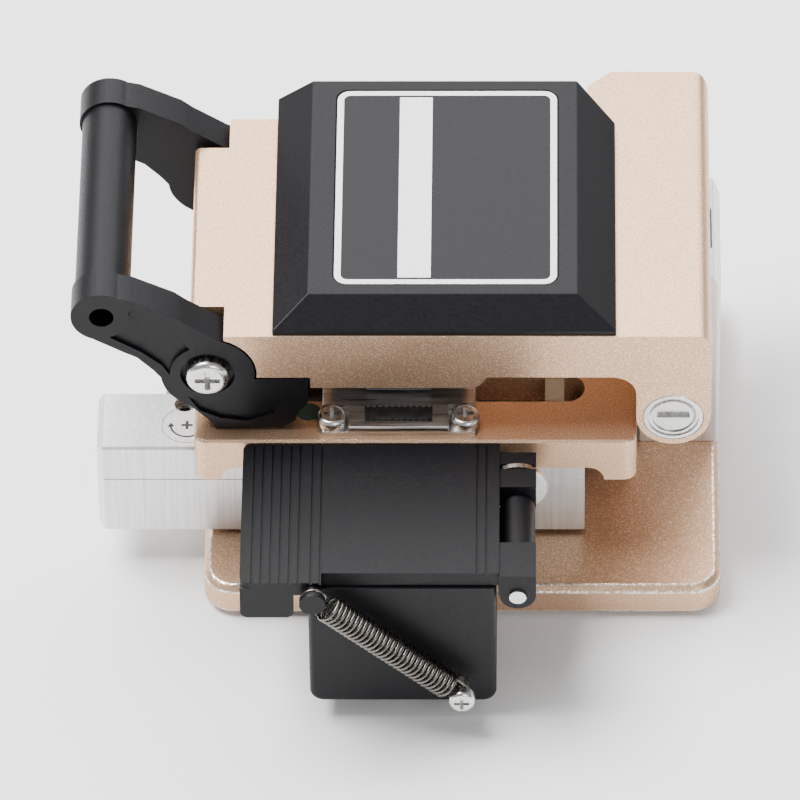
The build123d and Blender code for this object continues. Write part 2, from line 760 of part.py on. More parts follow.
clamp_spring = coil_envelope(guide_radius + spring_clearance, 0.45, upper_top, roof_z)
save([Pos(x, guide_y, 0) * clamp_spring for x in guide_xs], "upper_clamp_springs")
anvil_spring = coil_envelope(anvil_stem_radius + spring_clearance, 0.4, anvil_top, roof_z)
save(Pos(fibre_x, blade_y, 0) * anvil_spring, "anvil_spring")


# --- Rail, rail carriage, bracket and the sliding block ---
groove_z = base_top + rail_height * 0.6
rail_top = base_top + rail_height
rail = block(rail_left, rail_right, rail_y - rail_width / 2, rail_y + rail_width / 2, base_top, rail_top)
for side in (-1, 1):
    groove = Rot(0, 90, 0) * Cylinder(0.45, rail_right - rail_left)
    rail -= Pos((rail_left + rail_right) / 2, rail_y + side * (rail_width / 2 + 0.1), groove_z) * groove
for x in rail_screw_xs:
    rail -= rod_z(x, rail_y, rail_screw_shank, base_top, rail_top)
    rail -= rod_z(x, rail_y, rail_screw_head, rail_top - 2.1, rail_top)
save(rail, "linear_rail")
rail_screw = socket_screw(rail_screw_head, 1.8, rail_screw_shank, 4.0)
save([Pos(x, rail_y, rail_top - 2.1) * rail_screw for x in rail_screw_xs], "rail_screws")

rail_room = 0.05
car_top = base_top + car_height
car = block(
    car_x - car_length / 2,
    car_x + car_length / 2,
    rail_y - car_width / 2,
    rail_y + car_width / 2,
    base_top + 1.3,
    car_top,
)
car -= block(
    car_x - car_length,
    car_x + car_length,
    rail_y - rail_width / 2 - rail_room,
    rail_y + rail_width / 2 + rail_room,
    base_top,
    base_top + rail_height + rail_room,
)
car = chamfer(car.faces().sort_by(Axis.Z)[-1].edges().filter_by(Axis.X), 0.4)
car_screw_places = [(car_x + sx * 5.0, rail_y + sy * 3.0) for sx in (-1, 1) for sy in (-1, 1)]
car_screw_shank = 0.8
for x, y in car_screw_places:
    car -= rod_z(x, y, car_screw_shank, car_top - 1.6, car_top)
save(car, "rail_carriage")

bracket_thickness = 2.4
flange_thickness = 2.0
bracket_left = car_x - car_length / 2 - 1.5
bracket_right = car_x + car_length / 2 + 1.5
bracket = block(
    bracket_left,
    bracket_right,
    slider_rear,
    rail_y + car_width / 2,
    car_top,
    car_top + bracket_thickness,
)
bracket += block(
    bracket_left,
    bracket_right,
    slider_rear,
    slider_rear + flange_thickness,
    car_top,
    slider_top - 1.5,
)
tab_x = slider_left + 8.9
bracket += block(
    tab_x, bracket_left + 1, slider_rear, slider_rear + 1.3, car_top + 1.0, car_top + 1.0 + bracket_thickness
)
bracket += block(tab_x, tab_x + 3.2, slider_rear, slider_rear + 1.3, car_top + 1.0, slider_top + 0.2)
flange_screw_z = slider_top - 3.6
flange_screw_xs = (bracket_left + 2.5, bracket_right - 2.5)
for x, y in car_screw_places:
    bracket -= rod_z(x, y, car_screw_shank, car_top, car_top + bracket_thickness)
for x in flange_screw_xs:
    bracket -= rod_y(x, flange_screw_z, car_screw_shank, slider_rear, slider_rear + flange_thickness)
save(bracket, "carriage_bracket")
car_screw = pan_screw(1.5, 1.1, car_screw_shank, 3.8)
bracket_screws = [Pos(x, y, car_top + bracket_thickness) * car_screw for x, y in car_screw_places]
for x in flange_screw_xs:
    at = Pos(x, slider_rear + flange_thickness, flange_screw_z)
    bracket_screws.append(at * Rot(-90, 0, 0) * car_screw)
save(bracket_screws, "bracket_screws")

wheel_slot = 2.0
hub_radius = 4.0
height_screw_x = slider_left + 11.4
height_screw_y = slider_rear - 2.3
height_screw_radius = 1.3
height_screw_bore = height_screw_radius + shaft_clearance
slider = block(slider_left, slider_right, slider_front, slider_rear, slider_bottom, slider_top)
slider = chamfer(slider.faces().sort_by(Axis.X)[0].edges(), 0.8)
slider = chamfer(slider.faces().sort_by(Axis.Z)[-1].edges().filter_by(Axis.X), 0.35)
wheel_room = blade_radius + 0.6
slider -= rod_y(blade_x, blade_z, wheel_room, blade_y - wheel_slot / 2, blade_y + wheel_slot / 2)
slider -= block(
    blade_x - wheel_room,
    blade_x + wheel_room,
    blade_y - wheel_slot / 2,
    blade_y + wheel_slot / 2,
    blade_z,
    slider_top + 1,
)
axle_head = 2.4
axle_front = blade_y - wheel_slot / 2 - 3.5
slider -= rod_y(blade_x, blade_z, blade_axle_radius, axle_front, slider_rear)
slider -= rod_y(blade_x, blade_z, axle_head, slider_rear - 1.3, slider_rear)
slider -= rod_z(height_screw_x, height_screw_y, height_screw_bore, slider_top - 9, slider_top)
for x in flange_screw_xs:
    slider -= rod_y(x, flange_screw_z, car_screw_shank, slider_rear - 2.0, slider_rear)
split_z = slider_bottom + 9.2
slider -= block(slider_left - 1, slider_right + 1, slider_front - 1, slider_front + 0.15, split_z, split_z + 0.2)
save(slider, "slider_block")

axle = rod_y(blade_x, blade_z, blade_axle_radius, axle_front, slider_rear - 1.3)
axle_cap = socket_screw(axle_head - 0.1, 1.2, blade_axle_radius - 0.2, 0.5)
axle += Pos(blade_x, slider_rear - 1.3, blade_z) * Rot(-90, 0, 0) * axle_cap
save(axle, "blade_axle")

hub_bore = blade_axle_radius + shaft_clearance
bore_y0 = blade_y - wheel_slot / 2
bore_y1 = blade_y + wheel_slot / 2
wheel = rod_y(blade_x, blade_z, blade_radius, blade_y - blade_thickness / 2, blade_y + blade_thickness / 2)
wheel = chamfer(wheel.edges().filter_by(GeomType.CIRCLE), 0.35)
wheel -= rod_y(blade_x, blade_z, 2.5, bore_y0, bore_y1)
save(wheel, "blade_wheel")
hub = rod_y(blade_x, blade_z, 2.5, blade_y - 0.9, blade_y + 0.9)
hub += rod_y(blade_x, blade_z, hub_radius, blade_y - 0.9, blade_y - blade_thickness / 2)
hub += rod_y(blade_x, blade_z, hub_radius, blade_y + blade_thickness / 2, blade_y + 0.9)
hub -= rod_y(blade_x, blade_z, hub_bore, bore_y0, bore_y1)
save(hub, "blade_hub")

set_screw = rod_z(height_screw_x, height_screw_y, height_screw_radius, slider_top - 8.5, slider_top - 1.0)
hexagon = extrude(
    Pos(height_screw_x, height_screw_y, slider_top - 2.4) * RegularPolygon(0.75, 6), amount=1.4
)
save(set_screw - hexagon, "height_screw")


# --- Scrap bin, its lid, hinge pin, washer, spring and screws ---
bin_step_z = base_top
bin_low_rear = front - 0.3
knuckle_front = bin_front + 0.1
window_front = bin_front + 6.3
window_rear = window_front + 10.1
washer_y = window_rear + 3.4
washer_thickness = 0.7
hinge_rear = bin_rear - 1.0
lid_x0 = bin_x0 - tab_length
lid_x1 = bin_x1 + 0.4
bin_lid_front = bin_front - 1.4
lip_y1 = bin_front - 0.2
spring_post_x = bin_x0 + 0.7
spring_post_z = bin_top + 0.7
spring_foot_x = bin_x1 - 4.5
spring_foot_z = bin_floor + 4.0
spring_y = bin_front - 0.5 - spring_radius
post_radius = 1.1
spring_screw_shank = 0.9
spring_screw_bite = 1.3

bin_outer = block(bin_x0, bin_x1, bin_front, bin_low_rear, bin_floor, bin_top)
bin_outer += block(bin_x0, bin_x1, bin_front, bin_rear, bin_step_z, bin_top)
bin_outer = fillet(bin_outer.edges().filter_by(Axis.Y).group_by(Axis.Z)[0], 1.8)
bin_outer = fillet(bin_outer.edges().filter_by(Axis.Z).group_by(Axis.Y)[0], 0.8)
hollow_x0 = bin_x0 + bin_wall
hollow_x1 = bin_x1 - bin_wall
hollow_y0 = bin_front + bin_wall
open_top = bin_top + 1
bin_hollow = block(hollow_x0, hollow_x1, hollow_y0, bin_low_rear - bin_wall, bin_floor + bin_wall, open_top)
bin_hollow += block(hollow_x0, hollow_x1, hollow_y0, bin_rear - bin_wall, bin_step_z + bin_wall, open_top)
bin_box = bin_outer - bin_hollow
barrel_y0 = window_front + 0.2
barrel_y1 = window_rear - 0.2
barrel = rod_y(bin_pin_x, bin_pin_z, knuckle_radius - 0.1, barrel_y0, barrel_y1)
barrel += block(bin_x1 - 0.5, bin_pin_x, barrel_y0, barrel_y1, bin_pin_z - 2.2, bin_pin_z)
bin_box += barrel
bin_box -= rod_y(bin_pin_x, bin_pin_z, bin_pin_radius, barrel_y0, barrel_y1)
washer_radius = 3.8
bin_box -= rod_y(bin_pin_x, bin_pin_z, washer_radius + 0.3, washer_y - 0.3, washer_y + washer_thickness + 0.3)
for x, y in bin_screw_places:
    bin_box -= rod_z(x, y, bin_screw_shank, bin_step_z, bin_step_z + bin_wall)
bin_box -= rod_y(spring_foot_x, spring_foot_z, spring_screw_shank, bin_front, bin_front + spring_screw_bite)
save(bin_box, "bin_body")
bin_screw = pan_screw(1.8, 1.3, bin_screw_shank, 4.2)
save([Pos(x, y, bin_step_z + bin_wall) * bin_screw for x, y in bin_screw_places], "bin_mount_screws")

pin_y0 = bin_front - 0.3
bin_pin = rod_y(bin_pin_x, bin_pin_z, bin_pin_radius, pin_y0, hinge_rear + 0.3)
save(bin_pin, "bin_hinge_pin")
washer = Rot(90, 0, 0) * ring(washer_radius, bin_pin_radius + shaft_clearance, washer_thickness)
save(Pos(bin_pin_x, washer_y + washer_thickness / 2, bin_pin_z) * washer, "bin_hinge_washer")

bin_lid = block(lid_x0, lid_x1, bin_lid_front, bin_rear + 0.3, bin_top + 0.2, deck_top)
bin_lid = fillet(bin_lid.edges().filter_by(Axis.Z).group_by(Axis.X)[0], 1.2)
lip = block(lid_x0, lid_x0 + 6.9, bin_lid_front, lip_y1, bin_top - 3.9, bin_top + 1.4)
bin_lid += fillet(lip.edges().filter_by(Axis.Y).group_by(Axis.Z)[0], 1.0)
bin_lid -= block(
    spring_post_x + post_radius, lid_x1 + 1, bin_lid_front - 1, bin_front + 0.4, bin_top, deck_top + 1
)
for y0, y1 in (
    (knuckle_front, window_front),
    (window_rear, washer_y - 0.1),
    (washer_y + washer_thickness + 0.1, hinge_rear),
):
    bin_lid += rod_y(bin_pin_x, bin_pin_z, knuckle_radius, y0, y1)
    bin_lid += block(bin_x1 + 0.3, bin_pin_x + knuckle_radius, y0, y1, bin_pin_z, deck_top - 0.3)
    bin_lid -= rod_y(bin_pin_x, bin_pin_z, bin_pin_radius + shaft_clearance, y0, y1)
bin_lid -= rod_y(
    bin_pin_x, bin_pin_z, washer_radius + 0.15, washer_y - 0.1, washer_y + washer_thickness + 0.1
)
groove_width = 0.35
groove_pitch = 1.2
for i in range(6):
    x = lid_x0 + 1.4 + i * groove_pitch
    bin_lid -= block(x, x + groove_width, bin_lid_front - 1, bin_rear + 1, deck_top - 0.3, deck_top + 1)
for start in (bin_x0 + 0.3, bin_x1 - 2.6):
    for i in range(2):
        x = start + i * groove_pitch
        bin_lid -= block(x, x + groove_width, bin_lid_front - 1, bin_rear + 1, deck_top - 0.3, deck_top + 1)
post_y0 = spring_y - 0.45
bin_lid += rod_y(spring_post_x, spring_post_z, post_radius, post_y0, lip_y1)
bin_lid += rod_y(spring_post_x, spring_post_z, post_radius + 0.6, post_y0 - 0.8, post_y0)
save(bin_lid, "bin_lid")

spring_screw = pan_screw(1.75, 1.3, spring_screw_shank, bin_front + spring_screw_bite - post_y0)
save(Pos(spring_foot_x, post_y0, spring_foot_z) * Rot(90, 0, 0) * spring_screw, "bin_spring_screw")

spring_run_x = spring_foot_x - spring_post_x
spring_run_z = spring_foot_z - spring_post_z
spring_span = math.hypot(spring_run_x, spring_run_z)
spring_end_gap = 2.2
spring_wire = 0.5
coil_length = spring_span - 2 * spring_end_gap
coil_angle = math.degrees(math.atan2(spring_run_x, spring_run_z))
spring_place = Pos(
    (spring_post_x + spring_foot_x) / 2, spring_y, (spring_post_z + spring_foot_z) / 2
) * Rot(0, coil_angle, 0)
spring = spring_place * ring(spring_radius, spring_radius - spring_wire, coil_length)
save(spring, "bin_spring")
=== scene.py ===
import math

import bmesh
import bpy
from mathutils import Matrix, Vector


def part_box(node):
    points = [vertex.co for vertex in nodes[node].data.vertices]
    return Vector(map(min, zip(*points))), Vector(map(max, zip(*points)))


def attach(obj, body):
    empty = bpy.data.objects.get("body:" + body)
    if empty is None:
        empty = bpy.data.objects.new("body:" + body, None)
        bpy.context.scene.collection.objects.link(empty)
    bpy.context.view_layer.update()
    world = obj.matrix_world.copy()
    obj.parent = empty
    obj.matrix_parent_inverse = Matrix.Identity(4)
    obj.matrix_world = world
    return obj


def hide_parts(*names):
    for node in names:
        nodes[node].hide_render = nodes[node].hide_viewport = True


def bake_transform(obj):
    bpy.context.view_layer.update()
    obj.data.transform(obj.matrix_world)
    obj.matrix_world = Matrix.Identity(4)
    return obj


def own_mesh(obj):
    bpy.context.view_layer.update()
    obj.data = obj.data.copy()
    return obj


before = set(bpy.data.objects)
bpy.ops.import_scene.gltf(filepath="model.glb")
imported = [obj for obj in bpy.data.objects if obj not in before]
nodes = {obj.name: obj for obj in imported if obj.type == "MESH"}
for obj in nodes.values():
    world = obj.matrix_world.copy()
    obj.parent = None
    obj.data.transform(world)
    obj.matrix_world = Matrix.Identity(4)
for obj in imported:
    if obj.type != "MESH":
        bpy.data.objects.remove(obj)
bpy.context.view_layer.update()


# --- Base plate, deck, deck column and lid ---
# Machined from aluminium plate, bead blasted to a fine glittering grain and
# anodised champagne. Every arris is eased, and its glint is a painted highlight.
def finish_nodes(name):
    """A new material with its tree and shader, ready for a finish."""
    material = bpy.data.materials.new(name)
    material.use_nodes = True
    tree = material.node_tree
    return material, tree, tree.nodes["Principled BSDF"]


def grain(tree, scale, detail, stretch=(1, 1, 1)):
    """A noise in the piece's own coordinates, stretched along its grain."""
    where = tree.nodes.new("ShaderNodeTexCoord")
    mapping = tree.nodes.new("ShaderNodeMapping")
    mapping.inputs["Scale"].default_value = stretch
    noise = tree.nodes.new("ShaderNodeTexNoise")
    noise.inputs["Scale"].default_value = scale
    noise.inputs["Detail"].default_value = detail
    tree.links.new(where.outputs["Object"], mapping.inputs["Vector"])
    tree.links.new(mapping.outputs["Vector"], noise.inputs["Vector"])
    return noise.outputs["Fac"]


def spread(tree, source, low, high, out_low, out_high):
    """Maps one range of a value onto another."""
    ranger = tree.nodes.new("ShaderNodeMapRange")
    ranger.inputs["From Min"].default_value = low
    ranger.inputs["From Max"].default_value = high
    ranger.inputs["To Min"].default_value = out_low
    ranger.inputs["To Max"].default_value = out_high
    tree.links.new(source, ranger.inputs["Value"])
    return ranger.outputs["Result"]


def two_tone(tree, source, dark, light):
    """A colour that runs from dark to light as a value runs from 0 to 1."""
    mix = tree.nodes.new("ShaderNodeMix")
    mix.data_type = "RGBA"
    mix.inputs["A"].default_value = (*dark, 1)
    mix.inputs["B"].default_value = (*light, 1)
    tree.links.new(source, mix.inputs["Factor"])
    return mix.outputs["Result"]


def dent(tree, shader, source, height, strength):
    """Turns a value into small relief on the surface."""
    bump = tree.nodes.new("ShaderNodeBump")
    bump.inputs["Distance"].default_value = height
    bump.inputs["Strength"].default_value = strength
    tree.links.new(source, bump.inputs["Height"])
    tree.links.new(bump.outputs["Normal"], shader.inputs["Normal"])


def blasted_anodised():
    """Champagne anodising over a bead-blasted surface, with its sparkle painted into the colour as light
    specks.
    """
    material, tree, shader = finish_nodes("champagne_anodised")
    beads = grain(tree, 6200, 1.0)
    clouds = grain(tree, 90, 3.0)
    painted_sparkle = spread(tree, beads, 0.50, 0.74, 0.0, 1.0)
    # Painted highlight: the brightest points of the bead grain are painted light as sparkle, over the darker
    # champagne of the rest.
    colour = two_tone(tree, painted_sparkle, (0.60, 0.370, 0.225), (0.98, 0.74, 0.54))
    tree.links.new(colour, shader.inputs["Base Color"])
    tree.links.new(spread(tree, clouds, 0.3, 0.7, 0.30, 0.40), shader.inputs["Roughness"])
    shader.inputs["Metallic"].default_value = 0.8
    dent(tree, shader, beads, 0.00005, 0.5)
    return material


def painted_edge_glint():
    """The eased arrises, painted lighter in small broken patches as a painted glint along each edge."""
    material, tree, shader = finish_nodes("painted_glint_arris")
    glint_noise = grain(tree, 1700, 4.0)
    glint_mask = spread(tree, glint_noise, 0.42, 0.58, 0.0, 1.0)
    # Painted highlight: the light end of this colour paints the glint along the eased edges, broken into
    # patches by the noise.
    tree.links.new(two_tone(tree, glint_mask, (0.62, 0.45, 0.33), (1.0, 0.93, 0.86)), shader.inputs["Base Color"])
    tree.links.new(spread(tree, glint_noise, 0.35, 0.65, 0.42, 0.20), shader.inputs["Roughness"])
    shader.inputs["Metallic"].default_value = 0.9
    dent(tree, shader, glint_noise, 0.0002, 0.8)
    return material


def eased_copy(node, body, finish, width, segments=2, edge_finish=None):
    """A copy of a CAD piece with its sharp arrises rounded, which stands for it."""
    source = nodes[node].data
    mesh = bmesh.new()
    mesh.from_mesh(source)
    bmesh.ops.remove_doubles(mesh, verts=mesh.verts, dist=0.000002)
    bmesh.ops.dissolve_limit(
        mesh,
        angle_limit=math.radians(0.5),
        verts=mesh.verts,
        edges=mesh.edges,
        use_dissolve_boundaries=False,
    )
    shape = bpy.data.meshes.new(f"{node}_eased")
    mesh.to_mesh(shape)
    mesh.free()
    piece = bpy.data.objects.new(f"{node}_eased", shape)
    bpy.context.scene.collection.objects.link(piece)
    for face in shape.polygons:
        face.use_smooth = True
    bevel = piece.modifiers.new("eased_edges", "BEVEL")
    bevel.width = width
    bevel.segments = segments
    bevel.limit_method = "ANGLE"
    bevel.angle_limit = math.radians(32)
    bevel.use_clamp_overlap = True
    bevel.miter_outer = "MITER_ARC"
    shape.materials.clear()
    shape.materials.append(finish)
    if edge_finish:
        shape.materials.append(edge_finish)
        bevel.material = 1
    shape = flattened(piece, f"{node}_eased")
    shape.set_sharp_from_angle(angle=math.radians(42))
    weighted = piece.modifiers.new("flat_faces_flat", "WEIGHTED_NORMAL")
    weighted.mode = "FACE_AREA"
    weighted.weight = 100
    weighted.keep_sharp = True
    flattened(piece, f"{node}_eased")
    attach(piece, body)
    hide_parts(node)
    return piece


def flattened(piece, name):
    """Turns a piece's modifiers into plain mesh."""
    bpy.context.view_layer.update()
    graph = bpy.context.evaluated_depsgraph_get()
    shape = bpy.data.meshes.new_from_object(
        piece.evaluated_get(graph), preserve_all_data_layers=True, depsgraph=graph
    )
    piece.modifiers.clear()
    piece.data = shape
    shape.name = name
    return shape


def dress(finish, *names):
    """Gives a finish to CAD pieces whose shape is already right."""
    for name in names:
        mesh = nodes[name].data
        mesh.materials.clear()
        mesh.materials.append(finish)


champagne = blasted_anodised()
painted_glint_arris = painted_edge_glint()
for name, body, ease in (
    ("base_plate", "base", 0.00025),
    ("deck_column", "base", 0.0002),
    ("deck", "base", 0.00022),
    ("lid_arm", "lid", 0.00028),
):
    eased_copy(name, body, champagne, ease, 2, painted_glint_arris)


# --- Sliding block, hinge block and carriage bracket ---
# Milled aluminium left silver. A cutter has drawn fine upright lines down the
# faces, and the corners are broken with a file.
def milled_silver():
    """Satin silver with fine cutter lines that run up the faces."""
    material, tree, shader = finish_nodes("milled_silver")
    lines = grain(tree, 3600, 3.0, (1.0, 0.3, 0.02))
    skin = grain(tree, 3000, 2.0)
    colour = two_tone(tree, spread(tree, lines, 0.3, 0.7, 0, 1), (0.68, 0.68, 0.69), (0.84, 0.84, 0.84))
    tree.links.new(colour, shader.inputs["Base Color"])
    tree.links.new(spread(tree, skin, 0.3, 0.7, 0.34, 0.46), shader.inputs["Roughness"])
    shader.inputs["Metallic"].default_value = 0.75
    dent(tree, shader, lines, 0.00002, 0.2)
    return material


silver = milled_silver()
eased_copy("slider_block", "blade_slide", silver, 0.0002)
eased_copy("hinge_block", "base", silver, 0.0003)
eased_copy("carriage_bracket", "blade_slide", silver, 0.00015)


# --- Lever handle, label cover, scrap bin and bin lid ---
# Black glass-filled nylon mouldings: a dry, faintly pebbled skin, with every
# edge rounded by the mould.
def black_moulding():
    """Matt black nylon with a fine pebbled skin."""
    material, tree, shader = finish_nodes("black_moulding")
    pebbles = grain(tree, 2600, 3.0)
    haze = grain(tree, 60, 2.0)
    colour = two_tone(tree, haze, (0.0022, 0.0022, 0.0034), (0.0045, 0.0045, 0.0065))
    tree.links.new(colour, shader.inputs["Base Color"])
    tree.links.new(spread(tree, pebbles, 0.3, 0.7, 0.38, 0.52), shader.inputs["Roughness"])
    shader.inputs["Specular IOR Level"].default_value = 0.22
    dent(tree, shader, pebbles, 0.00004, 0.4)
    return material


black = black_moulding()
for name, body, ease, steps in (
    ("lever_handle", "lever", 0.00045, 3),
    ("label_cover", "lid", 0.0003, 3),
    ("bin_body", "base", 0.0003, 2),
    ("bin_lid", "bin_cover", 0.00012, 2),
):
    eased_copy(name, body, black, ease, steps)


# --- Label plate and its print ---
# A thin black plate glued in the cover's recess, printed with a white border
# and one white stripe across it. It carries no lettering.
MM = 0.001


def label_black():
    """Smooth satin black film."""
    material, tree, shader = finish_nodes("label_black")
    film = grain(tree, 1400, 2.0)
    tree.links.new(
        two_tone(tree, film, (0.012, 0.012, 0.014), (0.019, 0.019, 0.022)), shader.inputs["Base Color"]
    )
    tree.links.new(spread(tree, film, 0.3, 0.7, 0.30, 0.38), shader.inputs["Roughness"])
    shader.inputs["Specular IOR Level"].default_value = 0.14
    return material


def label_white():
    """White ink that lies a hair above the film."""
    material, tree, shader = finish_nodes("label_white")
    ink = grain(tree, 2200, 2.0)
    tree.links.new(two_tone(tree, ink, (0.78, 0.78, 0.77), (0.90, 0.90, 0.89)), shader.inputs["Base Color"])
    shader.inputs["Roughness"].default_value = 0.45
    return material


def rounded_loop(x0, x1, y0, y1, radius, steps=8):
    """The corners of a rounded rectangle, anticlockwise."""
    points = []
    corners = (
        (x1 - radius, y1 - radius, 0),
        (x0 + radius, y1 - radius, 90),
        (x0 + radius, y0 + radius, 180),
        (x1 - radius, y0 + radius, 270),
    )
    for cx, cy, start in corners:
        for i in range(steps + 1):
            angle = math.radians(start + 90 * i / steps)
            points.append((cx + radius * math.cos(angle), cy + radius * math.sin(angle)))
    return points


def raised_ring(mesh, outer, inner, z0, z1):
    """A flat ring with thickness, from two loops of equal count."""
    levels = ((outer, z0), (outer, z1), (inner, z1), (inner, z0))
    rows = [[mesh.verts.new((x, y, z)) for x, y in loop] for loop, z in levels]
    count = len(outer)
    for row, following in zip(rows, rows[1:] + rows[:1]):
        for i in range(count):
            j = (i + 1) % count
            mesh.faces.new((row[i], row[j], following[j], following[i]))


def raised_patch(mesh, loop, z0, z1):
    """A flat patch with thickness."""
    low = [mesh.verts.new((x, y, z0)) for x, y in loop]
    high = [mesh.verts.new((x, y, z1)) for x, y in loop]
    mesh.faces.new(high)
    mesh.faces.new(list(reversed(low)))
    for i in range(len(loop)):
        j = (i + 1) % len(loop)
        mesh.faces.new((low[i], low[j], high[j], high[i]))


def new_piece(name, mesh, finish, body):
    """Links a finished mesh as a piece that rides on a body."""
    bmesh.ops.recalc_face_normals(mesh, faces=mesh.faces)
    shape = bpy.data.meshes.new(name)
    mesh.to_mesh(shape)
    mesh.free()
    shape.materials.append(finish)
    piece = bpy.data.objects.new(name, shape)
    bpy.context.scene.collection.objects.link(piece)
    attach(piece, body)
    return piece


dress(label_black(), "label_plate")
label_low, label_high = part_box("label_plate")
ink_height = 0.04 * MM
border_inset = 0.1 * MM
border_width = 0.85 * MM
print_mesh = bmesh.new()
outer = rounded_loop(
    label_low.x + border_inset,
    label_high.x - border_inset,
    label_low.y + border_inset,
    label_high.y - border_inset,
    1.7 * MM,
)
inside = border_inset + border_width
inner = rounded_loop(
    label_low.x + inside, label_high.x - inside, label_low.y + inside, label_high.y - inside, 0.9 * MM
)
raised_ring(print_mesh, outer, inner, label_high.z, label_high.z + ink_height)
stripe_x = label_low.x + (label_high.x - label_low.x) * 0.36
stripe_half = 2.15 * MM
stripe_gap = 0.35 * MM
stripe = (
    (stripe_x - stripe_half, label_low.y + inside + stripe_gap),
    (stripe_x + stripe_half, label_low.y + inside + stripe_gap),
    (stripe_x + stripe_half, label_high.y - inside - stripe_gap),
    (stripe_x - stripe_half, label_high.y - inside - stripe_gap),
)
raised_patch(print_mesh, stripe, label_high.z, label_high.z + ink_height)
new_piece("label_print", print_mesh, label_white(), "lid")


# --- Base pad ---
# A die-cut sheet of black rubber stuck under the base plate, so that the tool
# doesn't slide on the bench. Its skin is dull and faintly dusty.
def black_rubber():
    """Dull black rubber with a dusty skin."""
    material, tree, shader = finish_nodes("black_rubber")
    dust = grain(tree, 700, 5.0)
    tree.links.new(
        two_tone(tree, spread(tree, dust, 0.4, 0.75, 0, 1), (0.018, 0.018, 0.018), (0.055, 0.053, 0.050)),
        shader.inputs["Base Color"],
    )
    tree.links.new(spread(tree, dust, 0.3, 0.7, 0.62, 0.82), shader.inputs["Roughness"])
    dent(tree, shader, dust, 0.00008, 0.3)
    return material


rubber = black_rubber()
dress(rubber, "base_pad", "front_clamp_rubber", "rear_clamp_rubber")


# --- Upper clamp pads and lid stop pad ---
# Softer grey rubber, moulded to shape and pressed into place.
def grey_rubber():
    """Soft grey rubber with a talc bloom."""
    material, tree, shader = finish_nodes("grey_rubber")
    bloom = grain(tree, 600, 4.0)
    tree.links.new(
        two_tone(tree, spread(tree, bloom, 0.35, 0.7, 0, 1), (0.10, 0.10, 0.105), (0.17, 0.17, 0.175)),
        shader.inputs["Base Color"],
    )
    tree.links.new(spread(tree, bloom, 0.3, 0.7, 0.6, 0.8), shader.inputs["Roughness"])
    return material


dress(grey_rubber(), "upper_clamp_pads", "lid_stop_pad")


# --- Screws and pins ---
# Cross-recess and socket screws in bright nickel plate, with ground pins.
# Turning has left faint rings, and handling has left a haze of fine scratches.
def bright_plate():
    """Nickel plate with a haze of fine scratches."""
    material, tree, shader = finish_nodes("bright_plate")
    scratches = grain(tree, 1500, 6.0, (1.0, 0.12, 1.0))
    haze = grain(tree, 260, 3.0)
    colour = two_tone(tree, haze, (0.56, 0.55, 0.53), (0.80, 0.79, 0.77))
    tree.links.new(colour, shader.inputs["Base Color"])
    tree.links.new(spread(tree, scratches, 0.35, 0.65, 0.20, 0.34), shader.inputs["Roughness"])
    shader.inputs["Metallic"].default_value = 1.0
    dent(tree, shader, scratches, 0.000004, 0.15)
    return material


bright = bright_plate()
dress(
    bright,
    "column_screws",
    "deck_screws",
    "hinge_block_screws",
    "bin_mount_screws",
    "bin_spring_screw",
    "cover_screws",
    "lever_screws",
    "clamp_screws",
    "hinge_pin",
    "bin_hinge_pin",
    "bin_hinge_washer",
    "clamp_guide_pins",
    "blade_axle",
)


# --- Hinge bearings ---
# Two small ball races pressed into the lid's lugs. Each shows a bright outer
# ring, a dark shield sunk between the rings, and a narrow inner ring.
def lathed(mesh, profile, centre_x, centre_z, steps=64):
    """Turns a closed outline of (radius, y) points about an axis that runs along Y."""
    rows = []
    for i in range(steps):
        angle = math.tau * i / steps
        rows.append(
            [
                mesh.verts.new((centre_x + r * math.cos(angle), y, centre_z + r * math.sin(angle)))
                for r, y in profile
            ]
        )
    for i in range(steps):
        here, there = rows[i], rows[(i + 1) % steps]
        for k in range(len(profile)):
            j = (k + 1) % len(profile)
            mesh.faces.new((here[k], here[j], there[j], there[k]))


bearing_low, bearing_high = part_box("hinge_bearings")
race_radius = (bearing_high.x - bearing_low.x) / 2
race_x = (bearing_high.x + bearing_low.x) / 2
race_z = (bearing_high.z + bearing_low.z) / 2
race_width = 3.0 * MM
shield_depth = 0.35 * MM
bore_radius = 2.75 * MM
edge_break = 0.15 * MM
race_mesh = bmesh.new()
for start, outward in ((bearing_low.y, 1), (bearing_high.y, -1)):
    face = start
    sunk = start + outward * shield_depth
    inner_end = start + outward * race_width
    lathed(
        race_mesh,
        [
            (race_radius, face + outward * edge_break),
            (race_radius - edge_break, face),
            (race_radius - 0.62 * MM, face),
            (race_radius - 0.70 * MM, sunk),
            (bore_radius + 0.30 * MM, sunk),
            (bore_radius + 0.24 * MM, face),
            (bore_radius, face + outward * edge_break * 0.5),
            (bore_radius, inner_end),
            (race_radius, inner_end),
        ],
        race_x,
        race_z,
    )
races = new_piece("hinge_bearing_races", race_mesh, bright, "lid")
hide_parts("hinge_bearings")


# --- Rail, carriage and black-oxide fasteners ---
# Hardened steel, ground on the running faces and blackened elsewhere. A film
# of oil keeps it dark and a little glossy.
def oiled_steel():
    """Dark steel under a film of oil."""
    material, tree, shader = finish_nodes("oiled_steel")
    film = grain(tree, 220, 4.0)
    lines = grain(tree, 1300, 4.0, (0.05, 1.0, 1.0))
    tree.links.new(
        two_tone(tree, film, (0.10, 0.098, 0.095), (0.26, 0.25, 0.24)), shader.inputs["Base Color"]
    )
    tree.links.new(spread(tree, lines, 0.3, 0.7, 0.22, 0.40), shader.inputs["Roughness"])
    shader.inputs["Metallic"].default_value = 0.95
    dent(tree, shader, lines, 0.00001, 0.3)
    return material


oiled = oiled_steel()
dress(
    oiled,
    "linear_rail",
    "rail_carriage",
    "rail_screws",
    "bracket_screws",
    "clamp_guide_clips",
    "anvil_clip",
    "height_screw",
)


